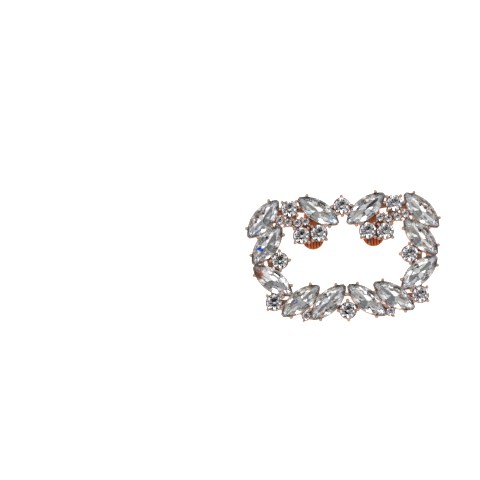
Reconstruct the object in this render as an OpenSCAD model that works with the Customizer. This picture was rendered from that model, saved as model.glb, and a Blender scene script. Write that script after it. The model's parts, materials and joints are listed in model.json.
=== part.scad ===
// Shoe buckle: a cast openwork frame set with 34 cut stones, on two spring clips.
// It is drawn flat, with its back at height 0 and its top edge towards +Y,
// and every piece is then tipped the way the buckle lies on a table.

/* [Marquise stones] */
// Length of a marquise stone, tip to tip
marquise_l = 14.6; // [12:0.1:18]
// Width of a marquise stone
marquise_w = 6.5; // [5:0.1:8]
// Width of its blunt tips
marquise_tip_w = 0.9; // [0.4:0.1:2]
// Height of its crown above the girdle
marquise_crown = 1.1; // [0.7:0.1:2]
// Depth of its pavilion below the girdle
marquise_pavilion = 2.5; // [1.5:0.1:3.5]

/* [Round stones] */
// Diameter of a large round stone
round_d = 5.1; // [4:0.1:6.5]
// Height of its crown above the girdle
round_crown = 1.1; // [0.6:0.1:1.8]
// Depth of its pavilion below the girdle
round_pavilion = 2.2; // [1.2:0.1:3]
// Diameter of the two small round stones
small_d = 2.5; // [2:0.1:4]
// Height of a small stone's crown
small_crown = 0.7; // [0.4:0.05:1.2]
// Depth of a small stone's pavilion
small_pavilion = 1.3; // [0.7:0.05:2]
// Diameter of the eight tiny round stones
tiny_d = 2.3; // [1.6:0.1:3]
// Height of a tiny stone's crown
tiny_crown = 0.55; // [0.3:0.05:1]
// Depth of a tiny stone's pavilion
tiny_pavilion = 1; // [0.5:0.05:1.6]

/* [Cut] */
// Height of the straight band round every stone
girdle_h = 0.25; // [0.1:0.05:0.5]
// Share of a marquise stone's width that its table takes
marquise_table = 0.66; // [0.5:0.01:0.75]
// Share of a round stone's width that its table takes
round_table = 0.54; // [0.4:0.01:0.7]

/* [Setting] */
// Clearance between a stone and the metal round it
stone_clear = 0.06; // [0.03:0.01:0.12]
// Width of metal that shows outside a stone's edge
rim_w = 0.2; // [0.1:0.02:0.4]
// Width of the ledge under a stone's edge
ledge_w = 0.5; // [0.35:0.05:0.7]
// Space between the deepest stone point and the back of the frame
culet_clear = 0.35; // [0.2:0.05:1]
// Height of the plate that ties a setting's prongs together
base_h = 1.7; // [1:0.1:2.2]
// Height of the bars that join the settings
bar_h = 1.2; // [0.8:0.1:2]
// Width of those bars
bar_w = 1.5; // [1:0.1:2.2]

/* [Prongs] */
// Diameter of a prong
prong_d = 0.8; // [0.5:0.02:1.1]
// Diameter of the bead on a prong's end
bead_d = 1.15; // [0.7:0.05:1.4]
// Diameter of a prong on a small or tiny stone
fine_prong_d = 0.6; // [0.4:0.02:0.8]
// Diameter of the bead on a fine prong
fine_bead_d = 0.84; // [0.5:0.02:1.1]
// Distance from a stone's edge out to its prongs' axes
prong_out = 0.58; // [0.3:0.02:0.8]
// How far a bead leans in towards the stone
bead_lean = 0.06; // [0:0.02:0.3]
// Height of a bead's middle above the top of the girdle
bead_rise = 0.2; // [0.1:0.05:0.5]

/* [Clips] */
// Thickness of the clips' spring sheet
sheet_t = 0.7; // [0.5:0.05:1]
// Width of the round pad at a clip's mouth end
pad_w = 7; // [5:0.1:9]
// Width of the clip's tongue and of its bend
tongue_w = 5; // [3:0.1:6]
// Length of a clip, pad end to bend
clip_l = 12.2; // [9:0.1:15]
// Open height of the clip's mouth
mouth_h = 1.8; // [1:0.1:3]
// How far the tongue stops short of the pad's end
tongue_back = 0.6; // [0.3:0.1:2]
// How far a clip's middle lies inside the middle of its lobe's two stones
clip_in = 0.9; // [0:0.1:1.5]
// How far the pad shows past the lobe's stones
pad_show = 2.1; // [1:0.1:3]
// Solder line between a clip and the frame
solder_gap = 0.05; // [0.03:0.01:0.1]

/* [Hidden] */
$fn = 64;
ROUND_FACETS = 16;      // points on a round stone's girdle
MARQUISE_FACETS = 20;   // points on a marquise stone's girdle
CULET_SHARE = 0.08;     // size of the culet as a share of the stone
BREAK_RUN = 0.42;       // share of a slope's run where its facets change pitch
BREAK_RISE = 0.54;      // share of the slope's height at that place
ARC_WAY = 0.8;          // share of a marquise's points that lie on its arcs
PRONG_ALONG = 0.78;     // marquise prongs stand at this share of the half length
OVERCUT = 1;            // how far a through cut runs past the metal

// The layout was drawn in lengths of a marquise stone. These shares of that
// length are the largest stones it has room for.
MARQUISE_ROOM = 0.446;
ROUND_ROOM = 0.35;
SMALL_ROOM = 0.174;
TINY_ROOM = 0.158;
pitch = max(marquise_l, marquise_w / MARQUISE_ROOM, round_d / ROUND_ROOM,
            small_d / SMALL_ROOM, tiny_d / TINY_ROOM);

// Right half of the layout, mirrored for the left half.
// name, kind, x and y as shares of the pitch, turn of the long axis or prongs
HALF = [
    ["top_outer_marquise",    "marquise", 1.713,  0.934, -48.5],
    ["upper_side_marquise",   "marquise", 1.659,  0.360, -50.5],
    ["lower_side_marquise",   "marquise", 1.581, -0.407,  39.7],
    ["bottom_outer_marquise", "marquise", 1.005, -0.878, -35.6],
    ["bottom_inner_marquise", "marquise", 0.416, -0.938, -41.9],
    ["top_inner_marquise",    "marquise", 0.514,  1.040,  35.5],
    ["top_round",             "round",    1.131,  1.120,  45],
    ["side_round",            "round",    1.400,  0.011,   0],
    ["corner_round",          "round",    1.575, -0.882,  45],
    ["lobe_outer_round",      "round",    0.904,  0.529,  45],
    ["lobe_inner_round",      "round",    0.526,  0.559,  45],
    ["tiny_round_1",          "tiny",     1.357,  0.876,  30],
    ["tiny_round_2",          "tiny",     1.182,  0.825,  45],
    ["tiny_round_3",          "tiny",     0.984,  0.801,  45],
    ["tiny_round_4",          "tiny",     0.805,  0.827,  45],
    ["small_round",           "small",    0.908, -1.215,  30]
];
MIDDLE = [
    ["top_middle_round",    "round", 0,  1.123, 0],
    ["bottom_middle_round", "round", 0, -1.141, 0]
];
STONES = concat(
    MIDDLE,
    [for (s = HALF) [str(s[0], "_right"), s[1], s[2], s[3], s[4]]],
    [for (s = HALF) [str(s[0], "_left"), s[1], -s[2], s[3], -s[4]]]
);

// Settings that a bar joins at the back, by the names of the right half
LINKS = [
    ["top_middle_round", "top_inner_marquise"],
    ["top_inner_marquise", "top_round"],
    ["top_inner_marquise", "lobe_inner_round"],
    ["top_inner_marquise", "tiny_round_4"],
    ["top_round", "top_outer_marquise"],
    ["top_round", "tiny_round_2"],
    ["top_round", "tiny_round_3"],
    ["top_outer_marquise", "tiny_round_1"],
    ["tiny_round_1", "tiny_round_2"],
    ["tiny_round_2", "tiny_round_3"],
    ["tiny_round_3", "tiny_round_4"],
    ["lobe_outer_round", "tiny_round_3"],
    ["lobe_outer_round", "tiny_round_4"],
    ["lobe_outer_round", "lobe_inner_round"],
    ["top_outer_marquise", "upper_side_marquise"],
    ["upper_side_marquise", "tiny_round_1"],
    ["upper_side_marquise", "side_round"],
    ["upper_side_marquise", "lower_side_marquise"],
    ["side_round", "lower_side_marquise"],
    ["lower_side_marquise", "corner_round"],
    ["lower_side_marquise", "bottom_outer_marquise"],
    ["corner_round", "bottom_outer_marquise"],
    ["bottom_outer_marquise", "bottom_inner_marquise"],
    ["bottom_outer_marquise", "small_round"],
    ["bottom_inner_marquise", "small_round"],
    ["bottom_inner_marquise", "bottom_middle_round"]
];

// Sizes of each kind: length, width, crown, pavilion, prong, bead
function stone_l(kind) = kind == "marquise" ? marquise_l : stone_w(kind);
function stone_w(kind) =
    kind == "marquise" ? marquise_w : kind == "round" ? round_d :
    kind == "small" ? small_d : tiny_d;
function crown_h(kind) =
    kind == "marquise" ? marquise_crown : kind == "round" ? round_crown :
    kind == "small" ? small_crown : tiny_crown;
function pavilion_h(kind) =
    kind == "marquise" ? marquise_pavilion : kind == "round" ? round_pavilion :
    kind == "small" ? small_pavilion : tiny_pavilion;
function table_share(kind) = kind == "marquise" ? marquise_table : round_table;
function is_fine(kind) = kind == "small" || kind == "tiny";
function prong_dia(kind) = is_fine(kind) ? fine_prong_d : prong_d;
function bead_dia(kind) = is_fine(kind) ? fine_bead_d : bead_d;

// A marquise's outline is where two equal arcs and the blunt ends overlap; a round
// stone's is one full circle. The arcs' radius, how far each one's middle lies from
// the stone's, and the angle that an arc runs to either side.
function tip_w(kind) = kind == "marquise" ? marquise_tip_w : 0;
function corner_x(kind) = sqrt(pow(stone_l(kind), 2) - pow(tip_w(kind), 2)) / 2;
function arc_rise(kind) = (stone_w(kind) - tip_w(kind)) / 2;
function arc_r(kind) =
    (pow(corner_x(kind), 2) + pow(arc_rise(kind), 2)) / (2 * arc_rise(kind));
function arc_off(kind) = arc_r(kind) - stone_w(kind) / 2;
function arc_reach(kind) = asin(corner_x(kind) / arc_r(kind));

// Half width of the outline, let out by grow, at a distance along from its middle
function half_width(kind, along, grow) =
    sqrt(pow(arc_r(kind) + grow, 2) - along * along) - arc_off(kind);

// Height of the girdle's lower edge above the back of the frame
girdle_z = culet_clear + max(marquise_pavilion, round_pavilion, small_pavilion, tiny_pavilion);
cup_h = girdle_z - stone_clear;

// The clips sit under the two stones of each lobe
lobe = (place(find("lobe_outer_round")) + place(find("lobe_inner_round"))) / 2;
clip_x = lobe[0] - clip_in;
pad_end_y = lobe[1] - round_d / 2 - pad_show;
tongue_end_y = pad_end_y + tongue_back;
clip_depth = solder_gap + sheet_t + mouth_h + sheet_t;

// On a table the buckle leans on its lowest edge and on its two tongues' ends
low_y = min([for (s = STONES) lowest(s)]);
rest_tilt = atan2(clip_depth, tongue_end_y - low_y);
rest_lift = -low_y * sin(rest_tilt);

// Lowest point of a setting's foot in the flat drawing
function lowest(s) =
    let (kind = s[1], rim = 1 + 2 * rim_w / stone_w(kind))
    s[3] * pitch + min(
        min([for (p = ring(kind, rim, ROUND_FACETS)) turned_y(p, s[4])]),
        min([for (p = prong_spots(kind)) turned_y(p, s[4])]) - prong_dia(kind) / 2);
function turned_y(p, a) = p[0] * sin(a) + p[1] * cos(a);

// One ring of a stone's corners: its outline at a share of its size,
// with the corners moved along by a share of a step
function ring(kind, share, count, shift = 0) =
    kind == "marquise" ?
    [for (side = [-1, 1], i = [0 : count / 2 - 1])
        let (p = outline_at(kind, (i + shift) * 2 / count))
        side * share * p] :
    [for (i = [0 : count - 1])
        polar(stone_w(kind) / 2 * share, 360 * (i + shift) / count)];
// Point at a share of the way round half a marquise: along one arc, then its blunt end
function outline_at(kind, way) =
    way <= ARC_WAY ?
    let (p = polar(arc_r(kind), arc_reach(kind) * (1 - 2 * way / ARC_WAY)))
    [p[1], p[0] - arc_off(kind)] :
    let (y = tip_w(kind) / 2 * (1 - 2 * (way - ARC_WAY) / (1 - ARC_WAY)))
    [-sqrt(pow(stone_l(kind) / 2, 2) - y * y), y];
function polar(r, a) = [r * cos(a), r * sin(a)];

// One layer of a stone: a prism from the girdle to the height z
module layer(z, points) {
    translate([0, 0, min(z, 0)])
        linear_extrude(height = abs(z))
            polygon(points);
}

// A cut stone, girdle's lower edge at height 0. The hull of its layers has a
// table, kite facets down to the girdle, and a pavilion down to the culet.
module cut_stone(kind) {
    girdle = kind == "marquise" ? MARQUISE_FACETS : ROUND_FACETS;
    mains = girdle / 2;
    table = table_share(kind);
    crown_break = 1 - BREAK_RUN * (1 - table);
    pavilion_break = 1 - BREAK_RUN;
    hull() {
        layer(girdle_h + crown_h(kind), ring(kind, table, mains));
        layer(girdle_h + BREAK_RISE * crown_h(kind), ring(kind, crown_break, mains, 0.5));
        layer(girdle_h, ring(kind, 1, girdle));
        layer(-BREAK_RISE * pavilion_h(kind), ring(kind, pavilion_break, mains, 0.5));
        layer(-pavilion_h(kind), ring(kind, CULET_SHARE, mains));
    }
}

// The room that one stone takes in the metal, as a profile turned round the
// middle of an outline circle: through bore, ledge, girdle and sloping crown
module room_profile(kind, r) {
    half = stone_w(kind) / 2;
    run = (1 - table_share(kind)) * half;
    pavilion_slope = BREAK_RISE * pavilion_h(kind) / (BREAK_RUN * half);
    crown_slope = BREAK_RISE * crown_h(kind) / (BREAK_RUN * run);
    rise = bead_rise + bead_d;
    lean = min(run, rise / crown_slope);
    rotate_extrude()
        polygon([
            [0, -girdle_z - OVERCUT],
            [r - ledge_w, -girdle_z - OVERCUT],
            [r - ledge_w, -ledge_w * pavilion_slope - stone_clear],
            [r + stone_clear, -stone_clear],
            [r + stone_clear, girdle_h],
            [r + stone_clear - lean, girdle_h + rise],
            [0, girdle_h + rise]
        ]);
}

module stone_room(kind) {
    if (kind == "marquise")
        intersection() {
            translate([0, arc_off(kind), 0])
                room_profile(kind, arc_r(kind));
            translate([0, -arc_off(kind), 0])
                room_profile(kind, arc_r(kind));
            room_profile(kind, stone_l(kind) / 2);
        }
    else
        room_profile(kind, arc_r(kind));
}

// Outer wall of a setting, following the stone's outline
module cup(kind) {
    if (kind == "marquise")
        intersection() {
            translate([0, arc_off(kind), 0])
                cylinder(h = cup_h, r = arc_r(kind) + rim_w, $fn = 192);
            translate([0, -arc_off(kind), 0])
                cylinder(h = cup_h, r = arc_r(kind) + rim_w, $fn = 192);
            cylinder(h = cup_h, r = stone_l(kind) / 2 + rim_w, $fn = 192);
        }
    else
        cylinder(h = cup_h, r = arc_r(kind) + rim_w);
}

// Places of a setting's four prongs, in order round the stone
function prong_spots(kind) =
    kind == "marquise" ?
        let (x = PRONG_ALONG * stone_l(kind) / 2, y = half_width(kind, x, prong_out))
        [[x, y], [-x, y], [-x, -y], [x, -y]] :
        [for (i = [0 : 3]) polar(stone_w(kind) / 2 + prong_out, 90 * i)];

// A prong with its bead, which leans in square to the stone's edge
module prong(kind, spot) {
    outward = spot + [0, sign(spot[1]) * arc_off(kind)];
    bead = spot - outward / norm(outward) * bead_lean;
    bead_z = girdle_z + girdle_h + bead_rise;
    translate([spot[0], spot[1], 0])
        cylinder(h = bead_z, d = prong_dia(kind), $fn = 24);
    translate([bead[0], bead[1], bead_z])
        sphere(d = bead_dia(kind), $fn = 24);
}

// One setting with its prongs, before the stones' room is cut
module setting(kind) {
    cup(kind);
    linear_extrude(height = base_h)
        polygon(prong_spots(kind));
    for (spot = prong_spots(kind))
        prong(kind, spot);
}

module at_stone(s) {
    translate([s[2] * pitch, s[3] * pitch, 0])
        rotate([0, 0, s[4]])
            children();
}

// A bar at the back between two points
module bar(a, b) {
    span = b - a;
    translate([a[0], a[1], 0])
        rotate([0, 0, atan2(span[1], span[0])])
            translate([0, -bar_w / 2, 0])
                cube([norm(span), bar_w, bar_h]);
}

function find(name) = [for (s = concat(MIDDLE, HALF)) if (s[0] == name) s][0];
function place(s) = [s[2] * pitch, s[3] * pitch];

module bars() {
    for (side = [0, 1])
        mirror([side, 0, 0])
            union() {
                for (l = LINKS)
                    bar(place(find(l[0])), place(find(l[1])));
            }
}

module at_rest() {
    translate([0, 0, rest_lift])
        rotate([rest_tilt, 0, 0])
            children();
}

module frame() {
    color([0.85, 0.55, 0.43])
        at_rest()
            difference() {
                union() {
                    for (s = STONES)
                        at_stone(s)
                            setting(s[1]);
                    bars();
                }
                for (s = STONES)
                    at_stone(s)
                        translate([0, 0, girdle_z])
                            stone_room(s[1]);
            }
}

module stone(s) {
    color([0.88, 0.9, 0.93])
        at_rest()
            at_stone(s)
                translate([0, 0, girdle_z])
                    cut_stone(s[1]);
}

// Side outline of the bent strip, mouth at the left, middle of its bend at the origin
module strip_side(leg, r) {
    difference() {
        union() {
            circle(r = r);
            translate([-leg, -r])
                square([leg, 2 * r]);
        }
        circle(r = r - sheet_t);
        translate([-leg - OVERCUT, sheet_t - r])
            square([leg + OVERCUT, 2 * (r - sheet_t)]);
    }
}

// Plan outline of the strip, with its round free end at y = 0
module strip_plan(length) {
    translate([0, tongue_w / 2])
        circle(d = tongue_w);
    translate([-tongue_w / 2, tongue_w / 2])
        square([tongue_w, length - tongue_w / 2]);
}

// One spring clip: round pad against the frame, bend at the top, tongue below
module clip(side) {
    bend_r = mouth_h / 2 + sheet_t;
    bend_y = pad_end_y + clip_l - bend_r;
    color([0.78, 0.38, 0.2])
        at_rest()
            translate([side * clip_x, 0, -clip_depth]) {
                intersection() {
                    translate([-tongue_w / 2, bend_y, bend_r])
                        rotate([90, 0, 90])
                            linear_extrude(height = tongue_w)
                                strip_side(bend_y - tongue_end_y, bend_r);
                    translate([0, tongue_end_y, 0])
                        linear_extrude(height = clip_depth)
                            strip_plan(clip_l);
                }
                translate([0, pad_end_y + pad_w / 2, clip_depth - solder_gap - sheet_t])
                    cylinder(h = sheet_t, d = pad_w);
            }
}

frame();
clip(-1);  // clip_left
clip(1);  // clip_right
for (s = STONES)
    stone(s);
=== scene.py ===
# Shoe buckle: rose-gold openwork set with foil-backed cut stones, lying on its clips
import bpy, bmesh, json
from math import sin, cos, atan2, radians, degrees, hypot, pi
from mathutils import Vector, Matrix


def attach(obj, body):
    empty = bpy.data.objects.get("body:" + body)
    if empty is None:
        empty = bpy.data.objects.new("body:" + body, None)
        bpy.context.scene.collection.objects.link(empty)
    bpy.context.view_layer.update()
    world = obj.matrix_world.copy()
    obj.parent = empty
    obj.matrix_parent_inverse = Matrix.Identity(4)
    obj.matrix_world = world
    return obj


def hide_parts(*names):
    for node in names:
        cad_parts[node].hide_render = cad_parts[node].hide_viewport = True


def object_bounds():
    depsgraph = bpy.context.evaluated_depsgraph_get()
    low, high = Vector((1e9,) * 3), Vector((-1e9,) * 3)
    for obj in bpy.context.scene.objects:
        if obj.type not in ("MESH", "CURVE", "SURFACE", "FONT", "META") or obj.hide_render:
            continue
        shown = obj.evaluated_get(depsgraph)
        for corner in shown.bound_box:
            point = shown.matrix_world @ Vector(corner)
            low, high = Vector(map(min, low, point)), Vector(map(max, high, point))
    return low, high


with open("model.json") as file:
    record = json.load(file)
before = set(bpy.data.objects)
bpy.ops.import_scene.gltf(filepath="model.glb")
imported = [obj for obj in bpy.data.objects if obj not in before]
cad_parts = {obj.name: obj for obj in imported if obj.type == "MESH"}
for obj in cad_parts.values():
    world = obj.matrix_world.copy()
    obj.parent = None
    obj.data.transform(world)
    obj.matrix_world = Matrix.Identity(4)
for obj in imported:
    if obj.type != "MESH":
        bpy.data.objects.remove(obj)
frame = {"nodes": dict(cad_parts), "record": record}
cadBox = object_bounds()
mm = 0.001

# How the buckle lies. The tongues' backs are 3.25 mm behind the flat drawing's back plane.
tongueBack = next(m for m in frame["record"]["mounts"] if m["name"] == "tongue_back_left")
clipDepth = 3.25 * mm
tilt = atan2(tongueBack["axis"][1], -tongueBack["axis"][2])
alongTilt = (tongueBack["pos_m"][1] - clipDepth * sin(tilt)) / cos(tilt)
lift = tongueBack["pos_m"][2] - alongTilt * sin(tilt) + clipDepth * cos(tilt)
flatToWorld = Matrix.Translation((0, 0, lift)) @ Matrix.Rotation(tilt, 4, "X")
worldToFlat = flatToWorld.inverted()


class Wire:                                   # an output socket that can be reckoned with
    def __init__(self, shader, socket):
        self.shader, self.socket = shader, socket

    def reckon(self, operation, first, second):
        return self.shader.node("Math", {"operation": operation}, {0: first, 1: second})

    def __add__(self, other):
        return self.reckon("ADD", self, other)

    def __sub__(self, other):
        return self.reckon("SUBTRACT", self, other)

    def __rsub__(self, other):
        return self.reckon("SUBTRACT", other, self)

    def __mul__(self, other):
        return self.reckon("MULTIPLY", self, other)

    __radd__, __rmul__ = __add__, __mul__


class Shader:                                 # the nodes of a material or of the world
    def __init__(self, owner):
        owner.use_nodes = True
        self.owner, self.tree = owner, owner.node_tree
        self.tree.nodes.clear()

    def node(self, kind, settings=None, sockets=None, out=0):
        made = self.tree.nodes.new("ShaderNode" + kind)
        for key, value in (settings or {}).items():
            if key == "stops":
                setStops(made.color_ramp, value)
            else:
                setattr(made, key, value)
        for key, value in (sockets or {}).items():
            if isinstance(value, Wire):
                self.tree.links.new(value.socket, made.inputs[key])
            else:
                made.inputs[key].default_value = value
        return Wire(self, made.outputs[out])

    def finish(self, surface, kind="OutputMaterial"):
        output = self.tree.nodes.new("ShaderNode" + kind)
        self.tree.links.new(surface.socket, output.inputs["Surface"])
        return self.owner


def newShader(name):
    s = Shader(bpy.data.materials.new(name))
    return s, s.node("TexCoord", out=3)       # out 3 is Object


def setStops(ramp, stops):
    while len(ramp.elements) < len(stops):
        ramp.elements.new(0.5)
    for element, (position, colour) in zip(ramp.elements, stops):
        element.position = position
        element.color = colour


def noise(shader, where, scale, detail=3):
    return shader.node("TexNoise", {}, {"Vector": where, "Scale": scale, "Detail": detail})


def blend(shader, factor, first, second):
    return shader.node("Mix", {"data_type": "RGBA"}, {0: factor, 6: first, 7: second}, out=2)


def heightOf(shader, where):                  # above the flat drawing's back plane
    flat = shader.node("Mapping", {"vector_type": "TEXTURE"},
                       {"Vector": where, "Location": flatToWorld.translation, "Rotation": (tilt, 0, 0)})
    return shader.node("SeparateXYZ", {}, {0: flat}, out=2)


# Metals
plating = {
    "high": (0.5, 0.39, 0.32, 1),             # bead tops: painted light, greyer than the sides
    "wall": (0.72, 0.4, 0.28, 1),             # the sides of the cups, painted oranger for light bounced between the metal
    "low": (0.5, 0.15, 0.055, 1),             # painted shade down in the recesses
    "patch": (0.66, 0.36, 0.25, 1),
    "fadeFrom": 2.3 * mm, "fadeTo": 3.6 * mm,       # heights between which the painted light on the tops sets in
    "crevice": 0.5 * mm,                      # metal nearer than this gets painted shade
    "recess": 0.45, "open": 0.95,             # shares of clear sky that make a recess and an open wall
    "patchScale": 900, "patchShare": 0.35, "patchEdge": (0.3, 0.7),
    "grainScale": 6000, "grainDepth": 0.02 * mm, "grainStrength": 0.12,
    "roughLow": 0.16, "roughHigh": 0.32, "softEdge": 0.09 * mm,
}
# painted shade on the pads: the copper is darker low down and in the grooves
copperSheet = {
    **plating,
    "high": (0.86, 0.23, 0.075, 1), "wall": (0.7, 0.18, 0.055, 1), "low": (0.3, 0.05, 0.014, 1),
    "patch": (0.88, 0.3, 0.11, 1),
    "fadeFrom": -0.4 * mm, "fadeTo": -0.05 * mm,
    "crevice": 0.2 * mm, "roughLow": 0.28, "roughHigh": 0.44, "softEdge": 0.12 * mm,
}
# painted shade: darker copper for the groove floors
ribShade = {
    **copperSheet,
    "high": (0.52, 0.06, 0.012, 1), "wall": (0.4, 0.045, 0.01, 1), "patch": (0.5, 0.07, 0.015, 1),
}
# painted highlight: the pad's edge and one rib are painted pale
padRim = {
    **plating,
    "high": (0.95, 0.62, 0.48, 1), "low": (0.88, 0.5, 0.38, 1),
    "fadeFrom": -0.6 * mm, "fadeTo": 0,
}


def platedMetal(name, look):
    s, where = newShader(name)
    fade = s.node("MapRange", {}, {0: heightOf(s, where), 1: look["fadeFrom"], 2: look["fadeTo"]})
    sky = s.node("AmbientOcclusion", {"samples": 4}, {"Distance": look["crevice"]}, out=1)
    paintedLightShare = s.node("MapRange", {}, {0: sky, 1: look["recess"], 2: look["open"]})
    patches = noise(s, where, look["patchScale"])
    grain = noise(s, where, look["grainScale"], 2)
    # painted shade and light: dark in recesses, oranger on open sides, greyer on open tops high up
    colour = blend(s, paintedLightShare, look["low"], look["wall"])
    colour = blend(s, paintedLightShare * fade, colour, look["high"])
    colour = blend(s, patches * look["patchShare"], colour, look["patch"])
    rough = s.node("MapRange", {}, {0: patches, 1: look["patchEdge"][0], 2: look["patchEdge"][1],
                                    3: look["roughLow"], 4: look["roughHigh"]})
    soft = s.node("Bevel", {"samples": 4}, {"Radius": look["softEdge"]})
    bump = s.node("Bump", {}, {"Strength": look["grainStrength"], "Distance": look["grainDepth"],
                               "Height": grain, "Normal": soft})
    return s.finish(s.node("BsdfPrincipled", {}, {
        "Base Color": colour, "Metallic": 1, "Roughness": rough, "Normal": bump}))


def dressMetal():
    slots = frame["nodes"]["frame"].data.materials
    slots.clear()
    slots.append(platedMetal("roseGoldPlating", plating))
    print("metal dressed")


# Stones: what they are made of
crystal = {
    "ior": {"marquise": 1.42, "round": 1.52},
    "tints": [(0.36, (0.93, 0.94, 1, 1)), (0.5, (0.99, 0.99, 0.99, 1)), (0.64, (0.99, 0.99, 0.9, 1))],
    "tintScale": 260,
}
silvering = {
    "marquise": {"rough": 0.05, "edgeRough": 0.2,
                 "pale": (0.9, 0.9, 0.885, 1), "tinted": (0.83, 0.835, 0.865, 1)},
    "round": {"rough": 0.04, "edgeRough": 0.05,
              "pale": (0.98, 0.965, 0.98, 1), "tinted": (0.95, 0.94, 0.965, 1)},
    "edgeFrom": 1.7 * mm, "edgeTo": 2.8 * mm,       # heights between which the edge's roughness sets in
    "rippleScale": 900, "rippleDepth": 0.02 * mm, "rippleStrength": 0.1,
    "gleamCore": 1.1, "gleamEdge": 1.7,       # shares of a gleam's radius
    "gleamRagged": 2 * mm,                    # how far its edge wanders
    "gleams": [                               # painted glints: coloured spots in the foil; place in the flat drawing and radius, both in mm, and colour
        ((-26.3, 4.1, 1.4), 0.55, (0.05, 0.16, 0.85, 1)),
        ((-10.5, 14.1, 2), 0.85, (0.55, 0.72, 0.85, 1)),
        ((-3.3, 12.5, 2), 0.55, (0.5, 0.7, 0.88, 1)),
        ((-15.8, -13, 1.4), 0.5, (0.3, 0.32, 0.75, 1)),
        ((-12.3, -12.3, 1.4), 0.38, (0.2, 0.25, 0.7, 1)),
        ((-27.4, 9, 1.8), 0.9, (0.5, 0.68, 0.85, 1)),
        ((-27.5, -3.7, 1.6), 1.2, (0.5, 0.22, 0.14, 1)),
    ],
}
ground = {"pale": (0.9, 0.9, 0.9, 1), "dark": (0.78, 0.77, 0.76, 1), "gritScale": 9000, "rough": 0.8}
lacquer = {
    "pale": (0.62, 0.4, 0.2, 1), "dark": (0.42, 0.25, 0.12, 1), "speckScale": 4000,
    "metal": 0.8, "rough": 0.32,
    "gap": 0.012, "thick": 0.03,              # in mm
}


def crystalGlass(name, ior):
    s, where = newShader(name)
    colour = s.node("ValToRGB", {"stops": crystal["tints"]}, {0: noise(s, where, crystal["tintScale"], 1)})
    return s.finish(s.node("BsdfPrincipled", {}, {
        "Base Color": colour, "Roughness": 0.0, "IOR": ior, "Transmission Weight": 1}))


def mirrorFoil(name, look):
    s, where = newShader(name)
    ripple = noise(s, where, silvering["rippleScale"], 1)
    colour = blend(s, ripple, look["pale"], look["tinted"])
    # painted glints: coloured spots blended into the foil's colour
    for place, radius, tint in silvering["gleams"]:
        middle = flatToWorld @ (Vector(place) * mm)
        away = s.node("VectorMath", {"operation": "DISTANCE"}, {0: where, 1: middle}, out=1)
        near = s.node("MapRange", {}, {
            0: away + (ripple - 0.5) * silvering["gleamRagged"],
            1: radius * silvering["gleamEdge"] * mm, 2: radius * silvering["gleamCore"] * mm})
        colour = blend(s, near, colour, tint)
    rough = s.node("MapRange", {}, {0: heightOf(s, where), 1: silvering["edgeFrom"], 2: silvering["edgeTo"],
                                    3: look["rough"], 4: look["edgeRough"]})
    bump = s.node("Bump", {}, {"Strength": silvering["rippleStrength"],
                               "Distance": silvering["rippleDepth"], "Height": ripple})
    return s.finish(s.node("BsdfPrincipled", {}, {
        "Base Color": colour, "Metallic": 1, "Roughness": rough, "Normal": bump}))


def groundGirdle():
    s, where = newShader("groundGirdle")
    colour = blend(s, noise(s, where, ground["gritScale"], 2), ground["pale"], ground["dark"])
    return s.finish(s.node("BsdfPrincipled", {}, {"Base Color": colour, "Roughness": ground["rough"]}))


def foilLacquer():
    s, where = newShader("foilLacquer")
    colour = blend(s, noise(s, where, lacquer["speckScale"], 2), lacquer["pale"], lacquer["dark"])
    return s.finish(s.node("BsdfPrincipled", {}, {
        "Base Color": colour, "Metallic": lacquer["metal"], "Roughness": lacquer["rough"]}))


# Stones: how they are cut, in mm. Star and halves are shares of the main facets' slope, 0 leaves them out.
foilFace, lacquerFace, girdleFace = 1, 2, 3   # material slots, where 0 is the glass
cut = {
    "girdle": 0.25, "girdleFaces": 36, "tipFaces": 5, "star": 0.62, "starShare": 0.95,
    "grain": 1e-5,                            # how near to a cut a point counts as on it
    "upright": 0.1,                           # how far a girdle face's normal may point up or down
    "tipShare": 0.985,                        # how near to the longest reach a point counts as a tip
}
brilliant = {
    "tip": 0, "table": 0.54, "mains": 8, "pavilionMains": 8, "crownHalves": 0, "pavilionHalves": 0.93,
}
stoneKinds = {                                # the seat is the girdle's height above the CAD stone's culet
    "marquise": {"length": 14.74, "width": 6.64, "tip": 0.9, "crown": 1.1, "pavilion": 2.65, "seat": 2.65,
                 "table": 0.66, "mains": 6, "pavilionMains": 2, "crownHalves": 1.22, "pavilionHalves": 1.06},
    "round": {**brilliant, "length": 5.1, "width": 5.1, "crown": 1.1, "pavilion": 2.38, "seat": 2.25},
    "small": {**brilliant, "length": 2.5, "width": 2.5, "crown": 0.7, "pavilion": 1.16, "seat": 1.35},
    "tiny": {**brilliant, "length": 2.3, "width": 2.3, "crown": 0.55, "pavilion": 1.07, "seat": 1.05,
             "crownHalves": 1.22},
}


class Outline:                                # a stone's plan: two arcs and round tips, or a circle
    def __init__(self, kind):
        self.tip = kind["tip"]
        self.core = kind["length"] / 2 - self.tip
        rise = kind["width"] / 2 - self.tip
        radius = (self.core ** 2 + rise ** 2) / (2 * rise)
        self.radius = radius + self.tip
        self.offset = radius - rise
        self.reach = 90 if self.offset < 1e-6 else degrees(atan2(self.core, self.offset))

    def edge(self, angle):                    # how far out the outline goes this way
        off = abs((angle % 180) - 90)
        if off <= self.reach:
            return self.radius - self.offset * cos(radians(off))
        return self.core * sin(radians(off)) + self.tip

    def spread(self, count, shift):           # directions, evenly along the outline
        each = count // 2
        ends = 1 if shift == 0 and self.reach < 90 else 0
        return [side + 90 + self.reach * (2 * (i + shift) / each - 1)
                for side in (0, 180) for i in range(each + ends)]

    def tips(self, count):                    # directions round the two tips
        if self.reach == 90:
            return []
        gap = 180 - 2 * self.reach
        return [side + 90 + self.reach + gap * i / (count + 1)
                for side in (0, 180) for i in range(1, count + 1)]


def only(geometry, kind):                     # what a mesh step made of one kind
    return [part for part in geometry if isinstance(part, kind)]


def partsOf(wholes, kind):                    # the edges, verts or faces that belong to these, once each
    return list(dict.fromkeys(part for whole in wholes for part in getattr(whole, kind)))


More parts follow.
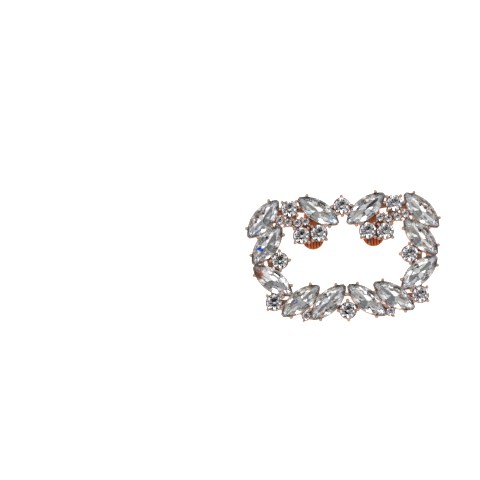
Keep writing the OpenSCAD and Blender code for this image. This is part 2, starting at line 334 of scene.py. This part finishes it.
def grind(bm, distance, height, normal):      # one flat ground on a piece
    geometry = bm.verts[:] + bm.edges[:] + bm.faces[:]
    result = bmesh.ops.bisect_plane(
        bm, geom=geometry, dist=cut["grain"], plane_co=(*distance, height), plane_no=normal.normalized(),
        clear_outer=True)
    rim = only(result["geom_cut"], bmesh.types.BMEdge)
    if len(rim) > 2:
        bmesh.ops.contextual_create(bm, geom=rim)


def cutTier(bm, plan, directions, height, rise, share=1, side=1):
    for a in directions:
        p = plan.edge(a)
        away = Vector((cos(radians(a)), sin(radians(a)), 0))
        grind(bm, (away * p * share)[:2], height, away * (rise / p) + Vector((0, 0, side)))


def cutStone(kind):
    plan = Outline(kind)
    girdle, crown, pavilion, mains = cut["girdle"], kind["crown"], kind["pavilion"], kind["mains"]
    top = girdle + crown
    apex = crown / (1 - kind["table"])
    ends = plan.tips(1)
    bm = bmesh.new()
    bmesh.ops.create_cube(bm, size=1)
    size = kind["length"] * 1.1
    bmesh.ops.scale(bm, vec=(size, size, top + pavilion), verts=bm.verts)
    bmesh.ops.translate(bm, vec=(0, 0, (top - pavilion) / 2), verts=bm.verts)
    cutTier(bm, plan, plan.spread(cut["girdleFaces"], 0.5) + plan.tips(cut["tipFaces"]), 0, 1, side=0)
    cutTier(bm, plan, plan.spread(mains, 0.5) + ends, girdle, apex)
    if kind["crownHalves"]:
        cutTier(bm, plan, plan.spread(2 * mains, 0.5), girdle, apex * kind["crownHalves"])
    cutTier(bm, plan, plan.spread(mains, 0), top, apex * cut["star"], kind["table"] * cut["starShare"])
    cutTier(bm, plan, plan.spread(kind["pavilionMains"], 0.5) + ends, 0, pavilion, side=-1)
    if kind["pavilionHalves"]:
        cutTier(bm, plan, plan.spread(2 * mains, 0.5), 0, pavilion * kind["pavilionHalves"], side=-1)
    bmesh.ops.recalc_face_normals(bm, faces=bm.faces)
    for f in bm.faces:
        if f.normal.z < -cut["upright"]:
            f.material_index = foilFace
        elif f.normal.z < cut["upright"]:
            f.material_index = girdleFace
    return bm


def lacquerBack(bm):                          # a thin painted shell behind the silvered pavilion
    behind = [f for f in bm.faces if f.material_index == foilFace]
    shell = only(bmesh.ops.duplicate(bm, geom=behind)["geom"], bmesh.types.BMFace)
    for v in partsOf(shell, "verts"):
        v.co += v.normal * lacquer["gap"]
    grown = bmesh.ops.solidify(bm, geom=shell, thickness=-lacquer["thick"])["geom"]
    coat = shell
    for step in range(2):                     # round the shell's edge and on to its other side
        coat = partsOf(partsOf(coat, "verts"), "link_faces")
    for f in coat + only(grown, bmesh.types.BMFace):
        f.material_index = lacquerFace


def flatBox(node):                            # a CAD node's points and corners in the flat drawing, in mm
    points = [worldToFlat @ v.co / mm for v in frame["nodes"][node].data.vertices]
    low = Vector([min(p[i] for p in points) for i in range(3)])
    high = Vector([max(p[i] for p in points) for i in range(3)])
    return points, low, high


def seatOf(node):                             # where the CAD stone's culet sits, and how it is turned
    points, low, high = flatBox(node)
    middle = (low + high) / 2
    reach = [hypot(p.x - middle.x, p.y - middle.y) for p in points]
    tips = [p - middle for p, far in zip(points, reach) if far > cut["tipShare"] * max(reach)]
    ahead = sum(((v if v.x > 0 else -v) for v in tips), Vector())
    return Vector((middle.x, middle.y, low.z)), atan2(ahead.y, ahead.x)


def addPiece(name, bm, node, materials, place=Matrix()):
    bm.transform(flatToWorld @ Matrix.Scale(mm, 4) @ place)
    mesh = bpy.data.meshes.new(name)
    bm.to_mesh(mesh)
    bm.free()
    for material in materials:
        mesh.materials.append(material)
    piece = bpy.data.objects.new(name, mesh)
    bpy.context.scene.collection.objects.link(piece)
    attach(piece, "root")
    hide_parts(node)


def setStones():
    glasses = {shape: crystalGlass(shape + "Crystal", ior) for shape, ior in crystal["ior"].items()}
    foils = {shape: mirrorFoil(shape + "Foil", silvering[shape]) for shape in glasses}
    back, girdle = foilLacquer(), groundGirdle()
    names = [n for n in frame["nodes"] if "round" in n or "marquise" in n]
    for name in names:
        kindName = next(k for k in ("marquise", "tiny", "small", "round") if k in name)
        shape = "marquise" if kindName == "marquise" else "round"
        kind = stoneKinds[kindName]
        bm = cutStone(kind)
        lacquerBack(bm)
        seat, turn = seatOf(name)
        place = Matrix.Translation(seat + Vector((0, 0, kind["seat"]))) @ Matrix.Rotation(turn, 4, "Z")
        addPiece("cut_" + name, bm, name, (glasses[shape], foils[shape], back, girdle), place)
    print("stones set:", len(names))


# Spring clips: a bent strip with a ribbed round pad, in mm
rimFace, shadeFace = 1, 2                     # material slots, where 0 is the copper sheet
clip = {
    "sheet": 0.7, "tongueWidth": 5, "tongueShort": 0.6, "tongueEndCuts": 10,
    "bendSteps": 10, "padSegments": 72,
    "sharp": 40, "softEdge": 0.12,            # edges bent by more degrees than this are softened
    "rim": 0.24, "rib": 0.56, "groove": 0.38, "grooveDeep": 0.34,
    "highlightRib": -1.5,                        # the rib painted pale as a highlight, counted from the middle groove
    "near": 0.18,                             # how near to a groove's or rib's place a strip has to be
    "rimUp": 0.1, "faceUp": 0.9,              # how far up the normals of the rim and of the flat face point
    "levelSlack": 0.01, "rimSlack": 0.05,
}


def extrudeOn(bm, faces, step):               # with its edges, so no wall is left behind inside
    made = bmesh.ops.extrude_face_region(bm, geom=faces + partsOf(faces, "edges"))["geom"]
    bmesh.ops.translate(bm, vec=step, verts=only(made, bmesh.types.BMVert))
    return only(made, bmesh.types.BMFace)


def softenEdges(bm):
    sharp = [e for e in bm.edges if len(e.link_faces) == 2 and e.calc_face_angle() > radians(clip["sharp"])]
    bmesh.ops.bevel(bm, geom=sharp, offset=clip["softEdge"], affect="EDGES", segments=2, profile=0.5,
                    material=-1)


def bentStrip(low, high, middleX, padRadius):
    sheet, half = clip["sheet"], clip["tongueWidth"] / 2
    bend = (high.z - low.z) / 2
    bm = bmesh.new()
    bmesh.ops.create_grid(bm, x_segments=1, y_segments=1, size=0.5)
    bmesh.ops.scale(bm, vec=(2 * half, sheet, 1), verts=bm.verts)
    bmesh.ops.rotate(bm, matrix=Matrix.Rotation(pi / 2, 3, "X"), verts=bm.verts)
    bmesh.ops.translate(bm, vec=(middleX, low.y + padRadius, high.z - sheet / 2), verts=bm.verts)
    end = extrudeOn(bm, bm.faces[:], (0, high.y - bend - low.y - padRadius, 0))
    end += partsOf(end, "edges") + partsOf(end, "verts")
    bent = bmesh.ops.spin(bm, geom=end, cent=(middleX, high.y - bend, high.z - bend), axis=(-1, 0, 0),
                          angle=pi, steps=clip["bendSteps"], use_duplicate=False)["geom_last"]
    tongueEnd = low.y + clip["tongueShort"]
    extrudeOn(bm, only(bent, bmesh.types.BMFace), (0, tongueEnd - high.y + bend, 0))
    bmesh.ops.recalc_face_normals(bm, faces=bm.faces)
    for i in range(clip["tongueEndCuts"]):    # round off the tongue's end
        a = pi * ((i + 0.5) / clip["tongueEndCuts"] - 0.5)
        away = Vector((sin(a), -cos(a), 0))
        spot = Vector((middleX, tongueEnd + half, 0)) + away * half
        grind(bm, spot[:2], 0, away)
    softenEdges(bm)
    return bm


def padTop(bm, level, inner):                 # the flat faces inside the rim
    return [f for f in bm.faces if f.normal.z > clip["faceUp"]
            and f.calc_center_median().z > level - clip["levelSlack"]
            and max(hypot(v.co.x, v.co.y) for v in f.verts) < inner + clip["rimSlack"]]


def ribbedPad(low, high, middleX, padRadius):
    bm = bmesh.new()
    bmesh.ops.create_circle(bm, cap_ends=True, radius=padRadius, segments=clip["padSegments"])
    extrudeOn(bm, bm.faces[:], (0, 0, clip["sheet"]))
    bmesh.ops.recalc_face_normals(bm, faces=bm.faces)
    softenEdges(bm)
    face = max(bm.faces, key=lambda f: f.calc_center_median().z)
    bmesh.ops.inset_region(bm, faces=[face], thickness=clip["rim"], use_even_offset=True)
    for f in bm.faces:                        # the edge round the pad, painted pale as a highlight
        if clip["rimUp"] < f.normal.z < clip["faceUp"]:
            f.material_index = rimFace
    inner = padRadius - clip["rim"] - clip["softEdge"]
    pitch = clip["rib"] + clip["groove"]
    count = int(inner / pitch)
    level = face.calc_center_median().z
    for i in range(-count, count + 1):
        for x in (i * pitch - clip["groove"] / 2, i * pitch + clip["groove"] / 2):
            flat = padTop(bm, level, inner)
            flat += partsOf(flat, "edges") + partsOf(flat, "verts")
            bmesh.ops.bisect_plane(bm, geom=flat, dist=cut["grain"], plane_co=(x, 0, 0), plane_no=(1, 0, 0))
    strips = [(f, f.calc_center_median().x / pitch) for f in padTop(bm, level, inner)]
    for f, place in strips:                   # grooves lie at whole numbers, ribs halfway between
        if abs(place - round(place)) < clip["near"]:
            for floor in extrudeOn(bm, [f], (0, 0, -clip["grooveDeep"])):
                floor.material_index = shadeFace
    for f, place in strips:                   # last, since a groove's walls take their neighbour's metal
        # painted highlight: this rib takes the pale rim metal
        if abs(place - clip["highlightRib"]) < clip["near"]:
            f.material_index = rimFace
    bmesh.ops.translate(bm, vec=(middleX, low.y + padRadius, high.z - clip["sheet"]), verts=bm.verts)
    return bm


def makeClips():
    looks = {"copperSheet": copperSheet, "padRim": padRim, "ribShade": ribShade}
    metals = [platedMetal(name, look) for name, look in looks.items()]
    for node in ("clip_left", "clip_right"):
        low, high = flatBox(node)[1:]
        middleX, padRadius = (low.x + high.x) / 2, (high.x - low.x) / 2
        bm = bentStrip(low, high, middleX, padRadius)
        pad = bpy.data.meshes.new("pad")
        ribbed = ribbedPad(low, high, middleX, padRadius)
        ribbed.to_mesh(pad)
        ribbed.free()
        bm.from_mesh(pad)
        bpy.data.meshes.remove(pad)
        addPiece("spring_" + node, bm, node, metals)
    print("clips bent")


# Floor, lights and camera
studio = {
    "floorSize": 3.0, "floorColour": (0.93, 0.93, 0.935, 1), "floorMottle": (0.9, 0.9, 0.9, 1),
    "mottleScale": 3, "mottleShare": 0.3, "floorRough": 0.7, "floorGlow": 0.9,
    "sky": 0.93, "shade": 0.2,                # bright and dull parts of the white tent round the table
    "cloudScale": 4, "cloudEdge": (0.38, 0.6), "tentColour": (1, 0.995, 0.99, 1),
    "cards": [                                # azimuth, elevation, half width, softness, brightness
        (270, 77, 11, 2, 0.02), (40, 48, 12, 4, 0.03), (150, 55, 10, 4, 0.03), (215, 35, 6, 4, 0.03),
        (285, 38, 6, 4, 0.03), (95, 60, 5, 3, 0.03), (0, 62, 9, 4, 1.5), (110, 42, 12, 5, 1.4),
        (240, 58, 8, 4, 1.5), (320, 50, 10, 4, 1.3), (180, 70, 6, 3, 1.3)],
    "softboxes": [                            # name, place, size, power
        ("left", (-0.45, 0.1, 0.6), (0.3, 0.4), 1.1),
        ("right", (0.5, 0.2, 0.55), (0.25, 0.4), 0.9),
        ("front", (0.05, -0.6, 0.5), (0.4, 0.2), 0.6)],
}
shot = {
    "elevation": 77, "roll": 3.2, "sensor": 36,
    "distance": 0.62, "frameWidth": 151.2 * mm,     # what the picture's width spans at the buckle
    "buckleRight": 33.0 * mm, "buckleDown": 5.35 * mm,
}


def layFloor():
    bm = bmesh.new()
    bmesh.ops.create_grid(bm, x_segments=1, y_segments=1, size=studio["floorSize"] / 2)
    mesh = bpy.data.meshes.new("floor")
    bm.to_mesh(mesh)
    bm.free()
    s, where = newShader("paleFloor")
    mottle = noise(s, where, studio["mottleScale"]) * studio["mottleShare"]
    colour = blend(s, mottle, studio["floorColour"], studio["floorMottle"])
    mesh.materials.append(s.finish(s.node("BsdfPrincipled", {}, {
        "Base Color": colour, "Roughness": studio["floorRough"], "Emission Color": (1, 1, 1, 1),
        "Emission Strength": studio["floorGlow"]})))
    floor = bpy.data.objects.new("floor", mesh)
    bpy.context.scene.collection.objects.link(floor)


def pitchTent():                              # the world: clouded white, with dark and bright cards in it
    s = Shader(bpy.data.worlds.new("tent"))
    ray = s.node("TexCoord", out=0)
    cloud = noise(s, ray, studio["cloudScale"], 1)
    light = s.node("MapRange", {"interpolation_type": "SMOOTHSTEP"}, {
        0: cloud, 1: studio["cloudEdge"][0], 2: studio["cloudEdge"][1], 3: studio["shade"], 4: studio["sky"]})
    for azimuth, elevation, width, softness, level in studio["cards"]:
        a, e = radians(azimuth), radians(elevation)
        along = s.node("VectorMath", {"operation": "DOT_PRODUCT"},
                       {0: ray, 1: (cos(a) * cos(e), sin(a) * cos(e), sin(e))}, out=1)
        card = s.node("MapRange", {"interpolation_type": "SMOOTHSTEP"},
                      {0: along, 1: cos(radians(width + softness)), 2: cos(radians(width))})
        light = light * (1 - card) + card * level
    background = s.node("Background", {}, {"Color": studio["tentColour"], "Strength": light})
    bpy.context.scene.world = s.finish(background, "OutputWorld")


def makeStudio():
    layFloor()
    for name, place, size, power in studio["softboxes"]:
        light = bpy.data.lights.new(name, "AREA")
        light.shape, light.size, light.size_y, light.energy = "RECTANGLE", *size, power
        lamp = bpy.data.objects.new(name, light)
        lamp.matrix_world = (Matrix.Translation(place)
                             @ (-Vector(place)).to_track_quat("-Z", "Y").to_matrix().to_4x4())
        bpy.context.scene.collection.objects.link(lamp)
    pitchTent()
    bpy.context.scene.view_settings.view_transform = "Standard"
    print("studio lit")


def aimCamera():
    e, r = radians(shot["elevation"]), radians(shot["roll"])
    back = Vector((0, -cos(e), sin(e)))
    level, upright = Vector((1, 0, 0)), Vector((0, sin(e), cos(e)))
    right = cos(r) * level - sin(r) * upright
    up = sin(r) * level + cos(r) * upright
    middle = (Vector(cadBox[0]) + Vector(cadBox[1])) / 2
    target = middle - right * shot["buckleRight"] + up * shot["buckleDown"]
    data = bpy.data.cameras.new("camera")
    data.sensor_width = shot["sensor"]
    data.lens = shot["sensor"] * shot["distance"] / shot["frameWidth"]
    camera = bpy.data.objects.new("camera", data)
    turn = Matrix((right, up, back)).transposed().to_4x4()
    camera.matrix_world = Matrix.Translation(target + back * shot["distance"]) @ turn
    bpy.context.scene.collection.objects.link(camera)
    bpy.context.scene.camera = camera
    print("camera aimed")


aimCamera()
makeStudio()
dressMetal()
setStones()
makeClips()
